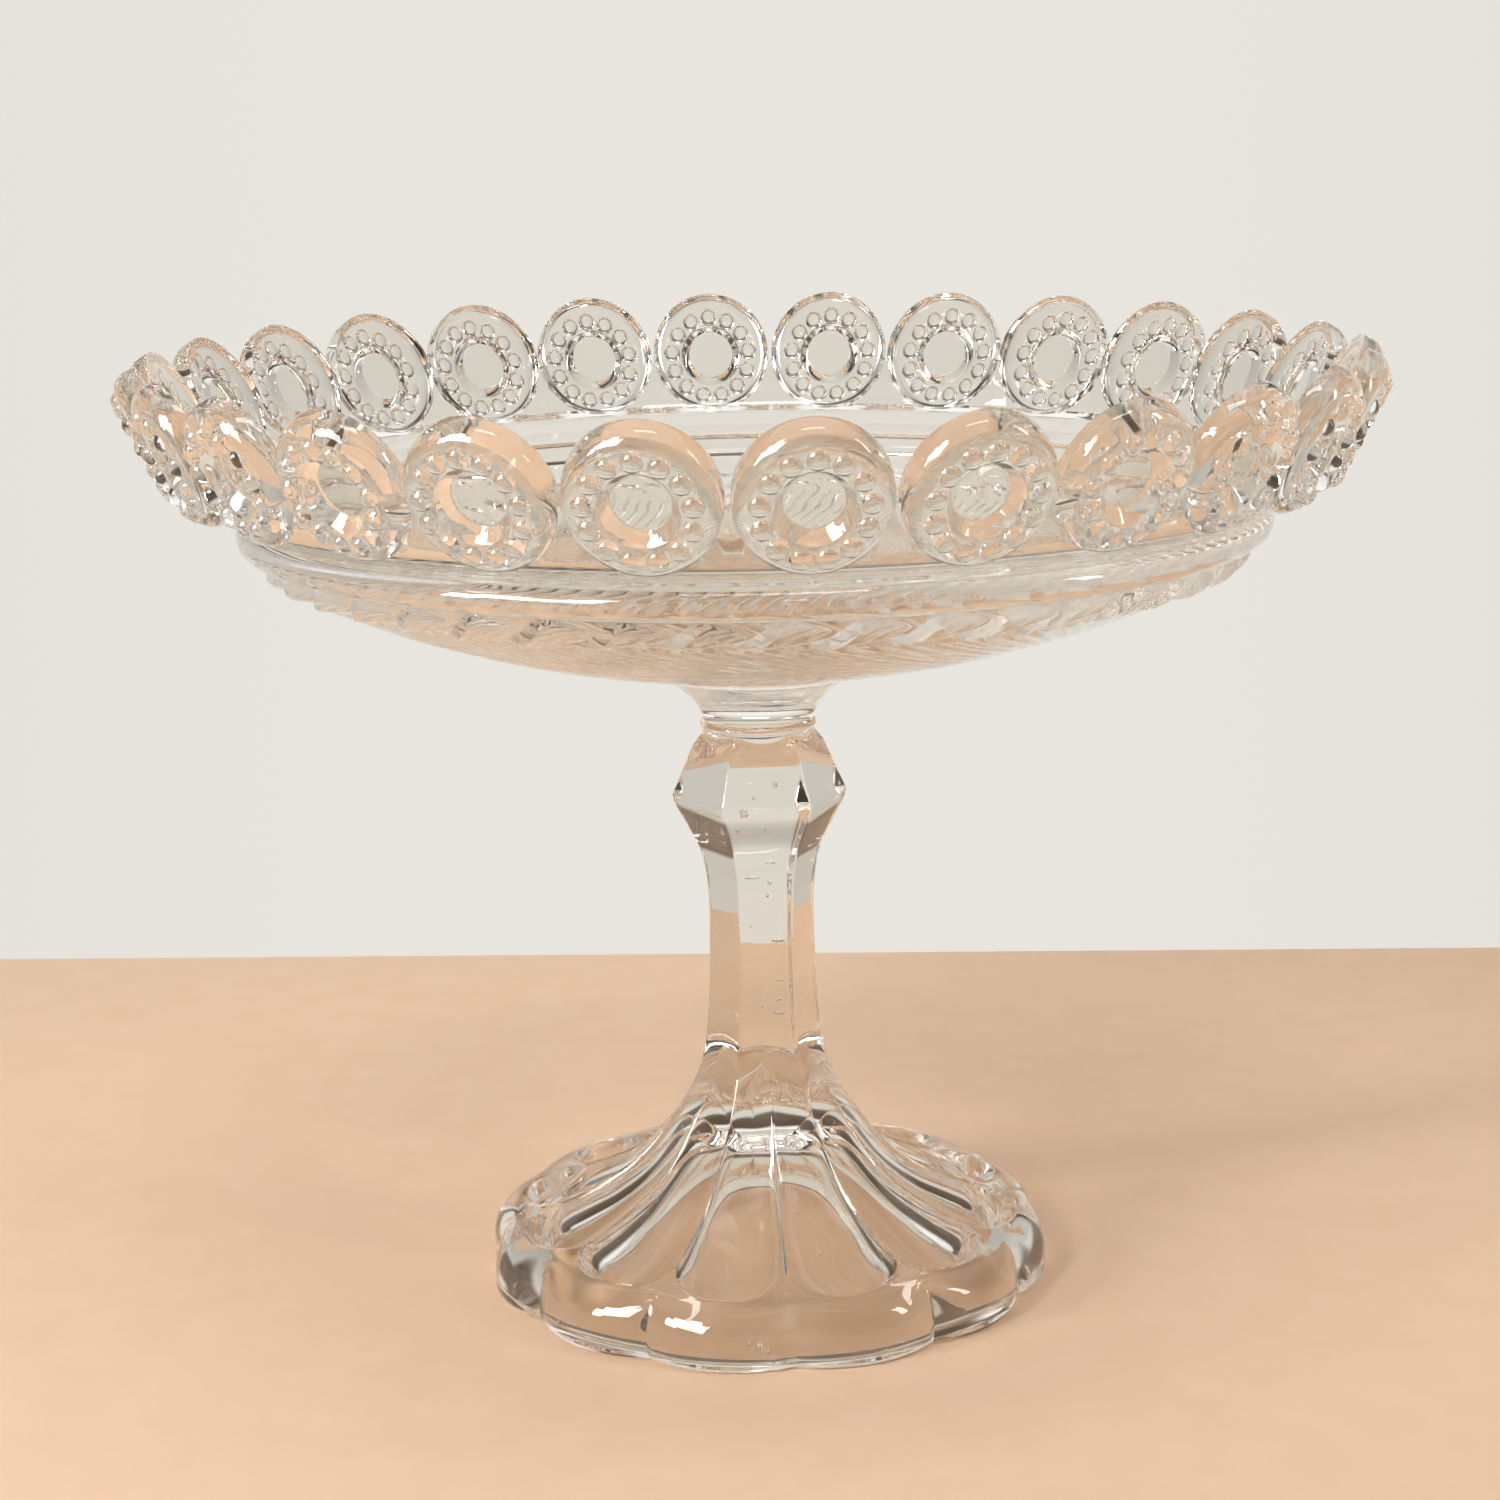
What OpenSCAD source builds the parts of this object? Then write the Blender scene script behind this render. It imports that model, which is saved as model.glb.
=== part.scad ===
// Pressed glass comport: an open bowl with a rim of round medallions, on a
// faceted stem with a petal foot. Millimetres, +Z up, origin at the centre of
// the resting plane.

/* [Bowl] */
// Height of the rim above the table
rim_z = 166.9; // [166:0.1:168]
// Number of round medallions in the rim
medallions = 26; // [18:1:30]
// Radius of one medallion's outline
medallion_r = 11.65; // [10:0.05:11.8]
// Thickness of a medallion at its centre, without the window
medallion_t = 6.2; // [5.6:0.1:7.5]
// Lean of the wall from upright, in degrees
wall_lean = 26; // [22:1:32]
// Radius of the plunger's face at a medallion's centre
wall_r = 99; // [98:0.1:100]
// Thickness of the plain wall between medallions
wall_t = 3; // [2:0.1:4]
// Thickness of the glass under the bowl's floor
floor_t = 5; // [4:0.1:7]

/* [Medallion window] */
// Radius of the flat window in a medallion
window_r = 4.4; // [3:0.1:5]
// Radius of the bevel's mouth round the window
bevel_r = 6.2; // [5.2:0.1:7]
// Glass left behind the window
window_t = 2.4; // [1.5:0.1:3]

/* [Joint] */
// Height of the joint's lower face
joint_z = 99.6; // [95:0.1:104]
// Thickness of the wafer of glass that joins bowl and stem
wafer_t = 2; // [1:0.1:3]
// Radius of the waist at the joint
waist_r = 9.7; // [8:0.1:11]

/* [Stem] */
// Half the stem's width across its corners
stem_r = 9.4; // [8.5:0.1:10.5]
// Half the knop's width across its corners
knop_r = 15.4; // [13:0.1:17]
// Height of the knop's widest point
knop_z = 87.8; // [84:0.1:91]
// Turn of the stem's flat faces about the axis, in degrees
facet_turn = 35; // [0:1:60]

/* [Foot] */
// Number of petals
petals = 12; // [10:1:14]
// Radius of the foot at a petal's tip
foot_r = 50.6; // [46:0.1:54]
// Radius of the foot at the notch between two petals
notch_r = 48.2; // [45:0.1:50]
// Height of the foot's upright edge
edge_h = 4.6; // [3:0.1:6]
// Thickness of the glass between the petals and the hollow underneath
foot_t = 4.5; // [3.5:0.1:6]
// Width of the flat ring that the foot rests on
rest_w = 4; // [3:0.1:5]

/* [Hidden] */
$fn = 96;
glass = [0.86, 0.9, 0.88];

// Unit steps along the leaning wall (up the slope) and out through it.
up_r = sin(wall_lean);
up_z = cos(wall_lean);
out_r = cos(wall_lean);
out_z = -sin(wall_lean);

// Height of a medallion's centre on the plunger's face: the apex, whose edge
// is rounded, stands a medallion radius further up the slope.
centre_z = rim_z - medallion_r * up_z - 0.2;
medallion_pitch = 360 / medallions;
first_medallion = 191.7;

// A point of the wall in the plane of the axis, from its distance up the
// slope from a medallion's centre and its depth out through the glass.
function wall_at(up, out) = [wall_r + up * up_r + out * out_r, centre_z + up * up_z + out * out_z];

// Points of an arc from one angle to another about a centre.
function arc(centre, r, from, to, steps) =
  [for (i = [0:steps]) let (a = from + (to - from) * i / steps) centre + r * [cos(a), sin(a)]];

v_bottom_up = -1.2;
floor_edge = [84.6, joint_z + wafer_t + 37.6];
floor_mid_z = joint_z + wafer_t + 11.6 + floor_t;

// Underside of the bowl, from the neck out to the ridge moulding.
underside = [
  [waist_r, joint_z + wafer_t],
  [waist_r + 0.5, joint_z + wafer_t + 1.6],
  [waist_r + 2, joint_z + wafer_t + 3.8],
  [waist_r + 4.4, joint_z + wafer_t + 6],
  [18, joint_z + wafer_t + 8.8],
  [23, joint_z + wafer_t + 10.9],
  [30, joint_z + wafer_t + 12.4],
  [38, joint_z + wafer_t + 13.9],
  [52, joint_z + wafer_t + 17.3],
  [66, joint_z + wafer_t + 22.1],
  [78, joint_z + wafer_t + 27.3],
  [81, joint_z + wafer_t + 28.8],
  [84.8, joint_z + wafer_t + 33]
];
ridge_centre = [85.9, joint_z + wafer_t + 35.6];
ridge_r = 2.6;

// The wall's outer face from the ridge up to the medallions' middles.
wall_face = [
  floor_edge + [4.2, 0],
  floor_edge + [6.6, 2.2],
  wall_at(-11.5, wall_t),
  wall_at(v_bottom_up, wall_t),
  wall_at(v_bottom_up, 0)
];

plunger_face = [
  [0, floor_mid_z],
  [20, floor_mid_z + 0.5],
  [38, floor_mid_z + 2.2],
  [54, floor_mid_z + 5.6],
  [68, floor_mid_z + 10.6],
  [78, floor_mid_z + 15.6],
  floor_edge - [2.2, 1.7],
  floor_edge,
  floor_edge + [4.4, 3.6],
  wall_at(-11.5, 0),
  wall_at(medallion_r + 12, 0)
];

// The bowl's body of revolution, still solid inside.
module bowl_blank() {
  rotate_extrude($fn = 180)
    polygon(concat(
      [[0, joint_z + wafer_t]],
      underside,
      arc(ridge_centre, ridge_r, -75, 50, 7),
      wall_face,
      [[0, wall_face[len(wall_face) - 1][1]]]
    ));
}

// The space that the plunger leaves: the inside of the bowl.
module plunger() {
  rotate_extrude($fn = 180)
    polygon(concat(plunger_face, [[0, plunger_face[len(plunger_face) - 1][1]]]));
}

// Places its children at each medallion, with +Z out through the glass.
module at_medallions() {
  for (i = [0:medallions - 1])
    rotate([0, 0, first_medallion - i * medallion_pitch])
      translate([wall_r, 0, centre_z])
        rotate([0, 90 + wall_lean, 0])
          children();
}

// One thick medallion: a low dome with a rounded edge.
module medallion() {
  edge = 1.9;
  rotate_extrude($fn = 48)
    polygon(concat(
      [[0, -1.6], [medallion_r - 0.5, -1.6], [medallion_r, 0]],
      arc([medallion_r - edge, medallion_t - 1 - edge], edge, 0, 80, 5),
      [[bevel_r, medallion_t - 0.1], [0, medallion_t]]
    ));
}

// The bevelled recess with the flat window at its bottom.
module window_recess() {
  translate([0, 0, window_t])
    cylinder(r1 = window_r, r2 = bevel_r, h = medallion_t - window_t + 0.01, $fn = 48);
}

module bowl() {
  color(glass)
    difference() {
      union() {
        bowl_blank();
        at_medallions() medallion();
      }
      plunger();
      at_medallions() window_recess();
    }
}

// The wafer of glass dropped between bowl and stem while both were hot.
module joining_wafer() {
  bulge = 0.5;
  color(glass)
    translate([0, 0, joint_z])
      rotate_extrude()
        polygon(concat(
          [[0, 0]],
          [for (i = [0:6]) [waist_r + bulge * sin(180 * i / 6), wafer_t * i / 6]],
          [[0, wafer_t]]
        ));
}

// Half the width across corners of the six-sided stem, at each height.
stem_corners = [
  [26.5, 15.8], [30, 14.2], [34, 12.6], [38, 11.4], [42, 10.6], [48, 9.9],
  [56, stem_r + 0.1], [66, stem_r - 0.1], [72, stem_r + 0.1], [75.5, stem_r + 0.7],
  [78, stem_r + 1.5], [knop_z - 1.6, knop_r - 0.5], [knop_z, knop_r], [knop_z + 1.6, knop_r - 0.2],
  [knop_z + 4.6, knop_r - 1.2], [knop_z + 7.4, knop_r - 2.6], [joint_z - 2, knop_r - 3.6],
  [joint_z - 0.7, waist_r + 0.9], [joint_z, waist_r + 0.5]
];

// The faceted stem and knop: three slabs with the panels' outline, crossed.
module stem() {
  across_flats = cos(30);
  right = [for (p = stem_corners) [p[1] * across_flats, p[0]]];
  left = [for (i = [len(right) - 1:-1:0]) [-right[i][0], right[i][1]]];
  intersection_for (turn = [0, 60, 120])
    rotate([0, 0, turn + facet_turn])
      rotate([90, 0, 0])
        linear_extrude(height = 60, center = true)
          polygon(concat(right, left));
}

petal_turn = facet_turn - 15;
petal_pitch = 360 / petals;
half_petal = petal_pitch / 2;
// Scallop circles that give the tip and notch radii of the foot's outline.
scallop_at = (foot_r * foot_r - notch_r * notch_r) / (2 * (foot_r - notch_r * cos(half_petal)));
scallop_r = foot_r - scallop_at;
rim_top_r = 44.5;
rim_top_z = 10.8;

// Centre line of the foot's upper face, along the ridges between petals. It
// starts inside the stem.
foot_face = [
  [7.4, 44], [9.4, 38], [12, 33.4], [14.4, 30], [17, 26.9], [19.8, 24.1], [23, 21.2], [27, 18.2],
  [32, 15.4], [38, 12.9], [rim_top_r, rim_top_z]
];
hollow_face = [
  [foot_r - rest_w - 2.6, 0], [rim_top_r - 2.9, foot_t], [38, foot_t + 2.2], [33, 8.8], [28, 11],
  [23, 13.9], [19, 17], [15.4, 20.4], [12, 23.2], [8, 25], [0, 25.8]
];

// The foot's body of revolution, hollow underneath.
module foot_blank() {
  shoulder = foot_r - rim_top_r;
  difference() {
    rotate_extrude($fn = 180)
      polygon(concat(
        [[0, 0], [foot_r, 0], [foot_r, edge_h]],
        [for (a = [15:15:75]) [
          rim_top_r + shoulder * cos(a),
          edge_h + (rim_top_z - edge_h) * sin(a)
        ]],
        [for (i = [len(foot_face) - 1:-1:0]) foot_face[i]],
        [[0, 44]]
      ));
    rotate_extrude($fn = 180)
      polygon(concat([[0, -1], [foot_r - rest_w - 2.6, -1]], hollow_face));
  }
}

// The scalloped outline of the foot in plan, as an upright prism.
module scalloped_plan() {
  translate([0, 0, -1])
    linear_extrude(height = 60) {
      circle(r = scallop_at + 8);
      for (i = [0:petals - 1])
        rotate(petal_turn + i * petal_pitch)
          translate([scallop_at, 0])
            circle(r = scallop_r);
    }
}

// One dished flute: a ring-shaped cutter that follows the flare of the foot
// and stops at a round end short of the edge.
module petal_scoop() {
  sweep_r = 41;
  scoop_r = 17;
  sweep_centre = [50.6, 48.2];
  end_r = 10.4;
  end_at = 33;
  start_r = 4;
  start_at = 13;
  intersection() {
    translate([sweep_centre[0], 0, sweep_centre[1]])
      rotate([90, 0, 0])
        rotate_extrude()
          translate([sweep_r - scoop_r, 0])
            circle(r = scoop_r);
    linear_extrude(height = 60) {
      translate([end_at, 0])
        circle(r = end_r);
      polygon([[start_at, -start_r], [end_at, -end_r], [end_at, end_r], [start_at, start_r]]);
    }
  }
}

module pedestal() {
  color(glass) {
    stem();
    difference() {
      intersection() {
        foot_blank();
        scalloped_plan();
      }
      for (i = [0:petals - 1])
        rotate([0, 0, petal_turn + i * petal_pitch])
          petal_scoop();
    }
  }
}

bowl();
joining_wafer();
pedestal();
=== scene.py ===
"""Pressed glass comport: a bowl with a rim of beaded medallions on a faceted stem with a petal foot.

Every size in the classes below is in millimetres; meshes are made in metres, in the part's own frame.
"""

import logging
import math
from dataclasses import dataclass, field
from enum import Enum
from typing import Callable, Sequence

import bpy
import numpy as np
from mathutils import Matrix, Vector

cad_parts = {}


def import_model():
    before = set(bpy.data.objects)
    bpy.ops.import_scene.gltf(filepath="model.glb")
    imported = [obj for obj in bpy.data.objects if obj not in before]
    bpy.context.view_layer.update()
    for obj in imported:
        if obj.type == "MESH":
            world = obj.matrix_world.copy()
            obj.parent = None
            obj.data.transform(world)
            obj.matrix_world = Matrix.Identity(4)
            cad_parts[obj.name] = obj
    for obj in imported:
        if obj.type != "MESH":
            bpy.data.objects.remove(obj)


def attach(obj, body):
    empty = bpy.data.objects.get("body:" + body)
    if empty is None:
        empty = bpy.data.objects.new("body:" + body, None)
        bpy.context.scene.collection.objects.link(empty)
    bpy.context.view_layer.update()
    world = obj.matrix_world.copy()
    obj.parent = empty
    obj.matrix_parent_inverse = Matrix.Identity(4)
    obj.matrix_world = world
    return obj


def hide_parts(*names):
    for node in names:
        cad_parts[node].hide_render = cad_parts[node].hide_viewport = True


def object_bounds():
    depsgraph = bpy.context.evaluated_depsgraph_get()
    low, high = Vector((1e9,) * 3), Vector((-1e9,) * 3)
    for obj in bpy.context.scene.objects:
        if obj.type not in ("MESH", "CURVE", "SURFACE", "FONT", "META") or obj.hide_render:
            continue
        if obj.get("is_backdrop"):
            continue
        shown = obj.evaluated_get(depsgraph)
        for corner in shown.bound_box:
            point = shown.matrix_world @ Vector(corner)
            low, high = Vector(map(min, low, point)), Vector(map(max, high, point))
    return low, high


log = logging.getLogger("comport")

MM = 0.001
# A face counts as a joint's when it lies this close to the joint's height, in mm, and is this level.
JOINT_SLACK = 0.02
LEVEL = 0.999

Profile = list[tuple[float, float]]
Corners = tuple[np.ndarray, np.ndarray, np.ndarray]
Press = Callable[[np.ndarray, np.ndarray, np.ndarray, np.ndarray], Corners]


# ---------------------------------------------------------------- modelling


class Cut(Enum):
    """What a boolean does with its tool."""

    ADD = "UNION"
    TAKE_AWAY = "DIFFERENCE"


def deselect_everything() -> None:
    """Leaves object mode with nothing selected."""
    if bpy.context.object and bpy.context.object.mode != "OBJECT":
        bpy.ops.object.mode_set(mode="OBJECT")
    bpy.ops.object.select_all(action="DESELECT")


def pick(*pieces: bpy.types.Object) -> None:
    """Selects these pieces only.

    Args:
        pieces: What is selected; the first one becomes the active one.
    """
    deselect_everything()
    for piece in pieces:
        piece.select_set(True)
    bpy.context.view_layer.objects.active = pieces[0]


def settle(piece: bpy.types.Object) -> None:
    """Puts a piece's place, turn and size into its mesh."""
    pick(piece)
    bpy.ops.object.transform_apply(location=True, rotation=True, scale=True)


def smooth_profile(points: Sequence[tuple[float, float]], step: float) -> Profile:
    """Runs a smooth line through the points of a profile.

    Args:
        points: Radius and height of each point, in mm.
        step: Distance between the points of the result, in mm.

    Returns:
        The points of the smooth line, from the first point to the last.
    """
    p = np.array(points, float)
    p = np.vstack([2 * p[0] - p[1], p, 2 * p[-1] - p[-2]])
    line: Profile = []
    for i in range(1, len(p) - 2):
        a, b, c, d = p[i - 1], p[i], p[i + 1], p[i + 2]
        count = max(1, round(float(np.linalg.norm(c - b)) / step))
        for j in range(count):
            t = j / count
            square = (2 * a - 5 * b + 4 * c - d) * t**2
            cube = (3 * b - a - 3 * c + d) * t**3
            q = 0.5 * (2 * b + (c - a) * t + square + cube)
            line.append((float(q[0]), float(q[1])))
    line.append((float(points[-1][0]), float(points[-1][1])))
    return line


def arc(centre: tuple[float, float], radius: float, start: float, end: float, steps: int) -> Profile:
    """Points of an arc from one angle to another.

    Args:
        centre: Radius and height of the arc's centre, in mm.
        radius: Radius of the arc, in mm.
        start: First angle, in degrees from straight outwards.
        end: Last angle.
        steps: Number of steps between them.

    Returns:
        The points, from the first angle to the last.
    """
    angles = [math.radians(start + (end - start) * i / steps) for i in range(steps + 1)]
    return [(centre[0] + radius * math.cos(a), centre[1] + radius * math.sin(a)) for a in angles]


def turn_shape(
    name: str, sides: int, profile: Sequence[tuple[float, float]], press: Press | None = None
) -> bpy.types.Object:
    """Raises a closed solid ring by ring from one circle, as glass is built up in a mould.

    Args:
        name: Name of the new piece.
        sides: Number of corners in each ring.
        profile: Radius and height of each ring, in mm, from one flat end to the other.
        press: Moves each ring's corners from the round to their own places. It takes the ring's number,
            the angle, the radius and the height of each corner, and gives the new angle, radius and height.

    Returns:
        The piece, closed at both ends, with its faces pointing outwards.
    """
    deselect_everything()
    radius, height = profile[0]
    bpy.ops.mesh.primitive_circle_add(vertices=sides, radius=radius * MM, fill_type="NOTHING")
    piece = bpy.context.object
    piece.name = piece.data.name = name
    bpy.ops.object.mode_set(mode="EDIT")
    bpy.ops.mesh.select_mode(type="VERT")
    bpy.ops.mesh.select_all(action="SELECT")
    bpy.ops.transform.translate(value=(0, 0, height * MM))
    for next_radius, next_height in profile[1:]:
        rise = (0, 0, (next_height - height) * MM)
        bpy.ops.mesh.extrude_region_move(TRANSFORM_OT_translate={"value": rise})
        ratio = next_radius / radius
        bpy.ops.transform.resize(value=(ratio, ratio, 1), center_override=(0, 0, 0))
        radius, height = next_radius, next_height
    bpy.ops.object.mode_set(mode="OBJECT")
    if press is not None:
        press_rings(piece, sides, press)
    close_ends(piece)
    return piece


def press_rings(piece: bpy.types.Object, sides: int, press: Press) -> None:
    """Moves the corners of a turned shape's rings, as the mould's engraving does.

    Args:
        piece: The turned shape.
        sides: Number of corners in each of its rings.
        press: What gives the corners their new places.
    """
    co = np.empty(len(piece.data.vertices) * 3)
    piece.data.vertices.foreach_get("co", co)
    co = co.reshape(-1, 3) / MM
    ring = np.arange(len(co)) // sides
    angle, distance = np.arctan2(co[:, 1], co[:, 0]), np.hypot(co[:, 0], co[:, 1])
    theta, radius, height = press(ring, angle, distance, co[:, 2])
    moved = np.column_stack([radius * np.cos(theta), radius * np.sin(theta), height]) * MM
    piece.data.vertices.foreach_set("co", moved.ravel())
    piece.data.update()


def close_ends(piece: bpy.types.Object) -> None:
    """Closes a piece's open ends with flat faces and points all its faces outwards.

    Args:
        piece: The open shell.
    """
    pick(piece)
    bpy.ops.object.mode_set(mode="EDIT")
    bpy.ops.mesh.select_mode(type="EDGE")
    bpy.ops.mesh.select_all(action="DESELECT")
    bpy.ops.mesh.select_non_manifold()
    bpy.ops.mesh.fill_holes(sides=0)
    bpy.ops.mesh.select_all(action="SELECT")
    bpy.ops.mesh.normals_make_consistent(inside=False)
    bpy.ops.object.mode_set(mode="OBJECT")


def cut(target: bpy.types.Object, tool: bpy.types.Object, how: Cut) -> None:
    """Joins a tool to a piece, or takes it away from the piece; the tool is used up.

    Args:
        target: The piece that is worked on.
        tool: The closed piece that is joined or taken away.
        how: Which of the two.
    """
    pick(target)
    step = target.modifiers.new("cut", "BOOLEAN")
    step.operation = how.value
    step.solver = "MANIFOLD"
    step.object = tool
    bpy.ops.object.modifier_apply(modifier=step.name)
    bpy.data.objects.remove(tool)


def join(pieces: Sequence[bpy.types.Object]) -> bpy.types.Object:
    """Makes one object of several pieces.

    Args:
        pieces: What is joined.

    Returns:
        The first piece, which holds all of them now.
    """
    pick(*pieces)
    bpy.ops.object.join()
    return pieces[0]


def smooth(piece: bpy.types.Object, angle: float) -> None:
    """Shades a piece smooth, with its edges over the angle, in degrees, kept crisp."""
    pick(piece)
    bpy.ops.object.shade_smooth_by_angle(angle=math.radians(angle))


# ---------------------------------------------------------------- finishes


def linear(colour: str) -> tuple[float, float, float, float]:
    """Turns an sRGB hex colour into linear red, green, blue and alpha."""
    parts = [int(colour[i : i + 2], 16) / 255 for i in (1, 3, 5)]
    return (*[c / 12.92 if c <= 0.04045 else ((c + 0.055) / 1.055) ** 2.4 for c in parts], 1.0)


def add_node(
    tree: bpy.types.NodeTree, kind: str, settings: dict | None = None, links: dict | None = None
) -> bpy.types.Node:
    """Adds a node to a tree.

    Args:
        tree: The tree that takes it.
        kind: The node's type name.
        settings: Attributes, or input sockets by name, and their values.
        links: Input sockets by name, and the output sockets that feed them.

    Returns:
        The new node.
    """
    node = tree.nodes.new(kind)
    for name, value in (settings or {}).items():
        if name in node.inputs:
            node.inputs[name].default_value = value
        else:
            setattr(node, name, value)
    for name, source in (links or {}).items():
        tree.links.new(source, node.inputs[name])
    return node


def new_material(name: str) -> tuple[bpy.types.Material, bpy.types.NodeTree, bpy.types.Node]:
    """Makes an empty node material.

    Args:
        name: Name of the material.

    Returns:
        The material, its node tree and its output node.
    """
    material = bpy.data.materials.new(name)
    material.use_nodes = True
    tree = material.node_tree
    tree.nodes.clear()
    return material, tree, tree.nodes.new("ShaderNodeOutputMaterial")


@dataclass(frozen=True)
class PressedSodaGlass:
    """Clear soda-lime glass, pressed in an iron mould and fire-polished.

    The iron leaves a faint orange-peel and the fire draws it into slow waves, so reflections wander
    a little and the lights break up in them. The colour is the glass's own faint straw grey.
    """

    name: str = "fire_polished_soda_lime_glass"
    colour: str = "#F3F0EA"
    ior: float = 1.52
    roughness_smooth: float = 0.0
    roughness_chilled: float = 0.02
    # Values of the wave pattern between which the surface goes from fire-polished to chilled.
    chill_start: float = 0.5
    chill_full: float = 0.75
    wave_mm: float = 9.0
    wave_height_mm: float = 0.02
    peel_mm: float = 1.6
    peel_height_mm: float = 0.0015

    def material(self) -> bpy.types.Material:
        """Makes the glass.

        Returns:
            The material.
        """
        material, tree, output = new_material(self.name)
        place = add_node(tree, "ShaderNodeTexCoord").outputs["Object"]
        wave_pattern = {"Scale": 1 / (self.wave_mm * MM), "Detail": 2.0, "Roughness": 0.45}
        waves = add_node(tree, "ShaderNodeTexNoise", wave_pattern, {"Vector": place})
        peel_pattern = {"Scale": 1 / (self.peel_mm * MM), "Detail": 1.0, "Roughness": 0.5}
        peel = add_node(tree, "ShaderNodeTexNoise", peel_pattern, {"Vector": place})
        slow = add_node(
            tree,
            "ShaderNodeBump",
            {"Strength": 1.0, "Distance": self.wave_height_mm * MM},
            {"Height": waves.outputs["Fac"]},
        )
        fine = add_node(
            tree,
            "ShaderNodeBump",
            {"Strength": 1.0, "Distance": self.peel_height_mm * MM},
            {"Height": peel.outputs["Fac"], "Normal": slow.outputs["Normal"]},
        )
        chill = add_node(
            tree,
            "ShaderNodeMapRange",
            {
                "From Min": self.chill_start,
                "From Max": self.chill_full,
                "To Min": self.roughness_smooth,
                "To Max": self.roughness_chilled,
            },
            {"Value": waves.outputs["Fac"]},
        )
        shader = add_node(
            tree,
            "ShaderNodeBsdfPrincipled",
            {"Base Color": linear(self.colour), "IOR": self.ior, "Transmission Weight": 1.0},
            {"Normal": fine.outputs["Normal"], "Roughness": chill.outputs["Result"]},
        )
        tree.links.new(shader.outputs["BSDF"], output.inputs["Surface"])
        return material


@dataclass(frozen=True)
class FusedFace:
    """The face where two gathers of hot glass ran together.

    No surface is left there, so light goes straight on and the eye sees one body of glass.
    """

    name: str = "fused_glass_face"

    def material(self) -> bpy.types.Material:
        """Makes the clear face.

        Returns:
            The material.
        """
        material, tree, output = new_material(self.name)
        clear = {"Base Color": linear("#FFFFFF"), "Alpha": 0.0, "Roughness": 1.0}
        shader = add_node(tree, "ShaderNodeBsdfPrincipled", clear)
        tree.links.new(shader.outputs["BSDF"], output.inputs["Surface"])
        return material


@dataclass(frozen=True)
class MattePaper:
    """Uncoated paper of the studio's floor: flat, pale and without gloss, with a faint cloud of tone."""

    name: str = "matte_studio_paper"
    colour: str = "#E6C6A9"
    colour_dark: str = "#DFBC9C"
    roughness: float = 0.9
    cloud_mm: float = 100 / 9

    def material(self) -> bpy.types.Material:
        """Makes the paper.

        Returns:
            The material.
        """
        material, tree, output = new_material(self.name)
        place = add_node(tree, "ShaderNodeTexCoord").outputs["Object"]
        cloud = {"Scale": 1 / (self.cloud_mm * MM), "Detail": 4.0}
        fibre = add_node(tree, "ShaderNodeTexNoise", cloud, {"Vector": place})
        tone = add_node(tree, "ShaderNodeMix", {"data_type": "RGBA"})
        tone.inputs[6].default_value = linear(self.colour)
        tone.inputs[7].default_value = linear(self.colour_dark)
        tree.links.new(fibre.outputs["Fac"], tone.inputs[0])
        shader = add_node(
            tree, "ShaderNodeBsdfPrincipled", {"Roughness": self.roughness}, {"Base Color": tone.outputs[2]}
        )
        tree.links.new(shader.outputs["BSDF"], output.inputs["Surface"])
        return material


def dress(
    piece: bpy.types.Object,
    glass: bpy.types.Material,
    fused: bpy.types.Material,
    joint_heights: Sequence[float],
) -> None:
    """Gives a piece its glass, and the fused finish to its flat faces at the joints.

    Args:
        piece: The piece of glass.
        glass: Finish of its own surface.
        fused: Finish of the faces that touch another piece.
        joint_heights: Heights of those faces, in mm.
    """
    piece.data.materials.clear()
    piece.data.materials.append(glass)
    piece.data.materials.append(fused)
    for face in piece.data.polygons:
        at_joint = any(abs(face.center.z - z * MM) < JOINT_SLACK * MM for z in joint_heights)
        face.material_index = 1 if at_joint and abs(face.normal.z) > LEVEL else 0


# ---------------------------------------------------------------- the bowl


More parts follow.
